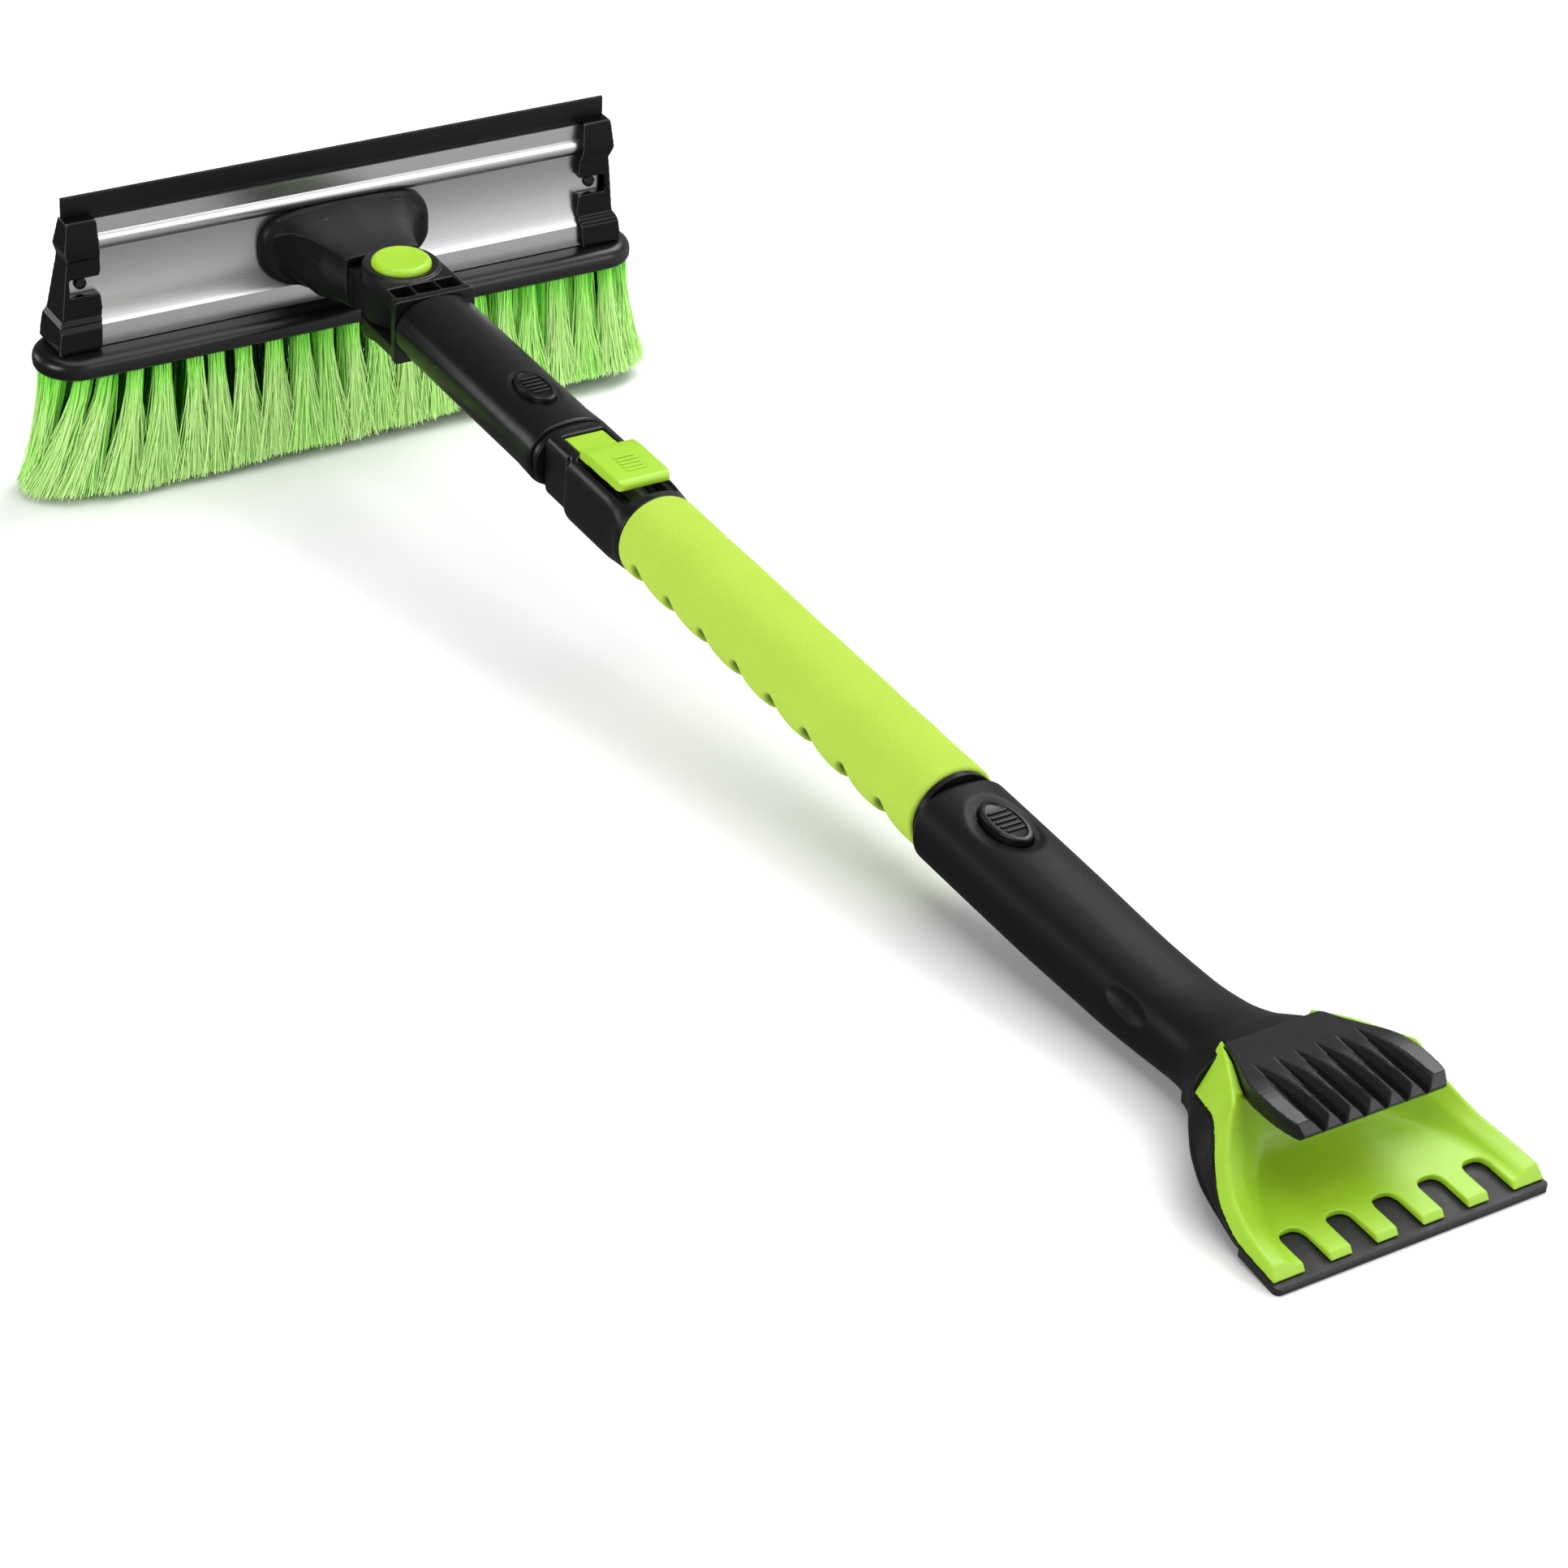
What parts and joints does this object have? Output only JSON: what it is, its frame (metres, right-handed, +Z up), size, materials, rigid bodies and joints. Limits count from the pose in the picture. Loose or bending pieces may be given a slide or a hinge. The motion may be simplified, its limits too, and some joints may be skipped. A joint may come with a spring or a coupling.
{
  "type": "snow brush scraper",
  "caption": "Telescopic car snow tool: pivoting snow brush with squeegee blade at one end, ice scraper scoop with comb and chipper at the other, foam grip between.",
  "frame": {"origin": "on the resting plane, under the middle of the whole tool's bounding box", "axes": "+X along the handle towards the scraper, +Y along the brush head, +Z up; the tool lies on its bristle tips and scraper blade"},
  "size_m": [0.802, 0.3226, 0.1414],
  "materials": {
    "aluminium_rail": "satin",
    "aluminium_tube": "satin",
    "steel": "satin",
    "black_rubber": "matte",
    "gloss_black": "gloss",
    "satin_black": "satin",
    "charcoal_plastic": "matte",
    "lime_plastic": "satin",
    "bristle": "satin",
    "foam": "matte"
  },
  "bodies": {
    "shaft": {"lock_housing": "satin_black", "lever_pin": "steel", "lever_spring": "steel", "outer_tube": "aluminium_tube", "foam_grip": "foam", "scraper_coupling": "satin_black", "scraper_latch_spring": "steel", "scraper_body": "charcoal_plastic", "scraper_scoop": "lime_plastic", "scraper_blade": "black_rubber", "ice_chipper": "charcoal_plastic"},
    "brush_side": {"pivot_clevis": "satin_black", "pivot_base_cap": "lime_plastic", "pivot_spring": "steel", "brush_handle_tube": "satin_black", "brush_coupling": "satin_black", "brush_latch_spring": "steel", "inner_tube": "aluminium_tube", "glide_bush": "charcoal_plastic"},
    "brush_head": {"squeegee_rail": "aluminium_rail", "squeegee_blade": "black_rubber", "end_cap_left": "gloss_black", "end_cap_right": "gloss_black", "cap_rivet_left": "satin_black", "cap_rivet_right": "satin_black", "bristle_block": "satin_black", "bristles_front": "bristle", "bristles_back": "bristle", "bristles_left": "bristle", "bristles_right": "bristle", "head_neck": "charcoal_plastic", "neck_screw_1": "steel", "neck_screw_2": "steel", "neck_screw_3": "steel", "neck_screw_4": "steel"},
    "pivot_release": {"pivot_button": "lime_plastic"},
    "lever": {"lock_lever": "lime_plastic", "brake_shoe": "black_rubber"},
    "brush_latch": {"brush_latch_button": "satin_black"},
    "scraper_latch": {"scraper_latch_button": "satin_black"}
  },
  "joints": [
    {"name": "telescope", "type": "slide", "parent": "shaft", "child": "brush_side", "axis": [-0.9921, 0, 0.1253], "range_m": [0, 0.18]},
    {"name": "head_swivel", "type": "hinge", "parent": "brush_side", "child": "brush_head", "pos_m": [-0.29972, 0, 0.08789], "axis": [0.1253, 0, 0.9921], "range_deg": [-90, 90]},
    {"name": "pivot_press", "type": "slide", "parent": "brush_side", "child": "pivot_release", "axis": [-0.1253, 0, -0.9921], "range_m": [0, 0.0044], "stiffness_N_per_m": 600, "deforming": ["pivot_spring"]},
    {"name": "lever_press", "type": "hinge", "parent": "shaft", "child": "lever", "pos_m": [-0.12055, 0, 0.07796], "axis": [0, 1, 0], "range_deg": [0, 4.5], "stiffness_Nm_per_rad": 0.5, "deforming": ["lever_spring"]},
    {"name": "brush_latch_press", "type": "slide", "parent": "brush_side", "child": "brush_latch", "axis": [-0.1253, 0, -0.9921], "range_m": [0, 0.0035], "stiffness_N_per_m": 500, "deforming": ["brush_latch_spring"]},
    {"name": "scraper_latch_press", "type": "slide", "parent": "shaft", "child": "scraper_latch", "axis": [-0.1253, 0, -0.9921], "range_m": [0, 0.0035], "stiffness_N_per_m": 500, "deforming": ["scraper_latch_spring"]}
  ]
}
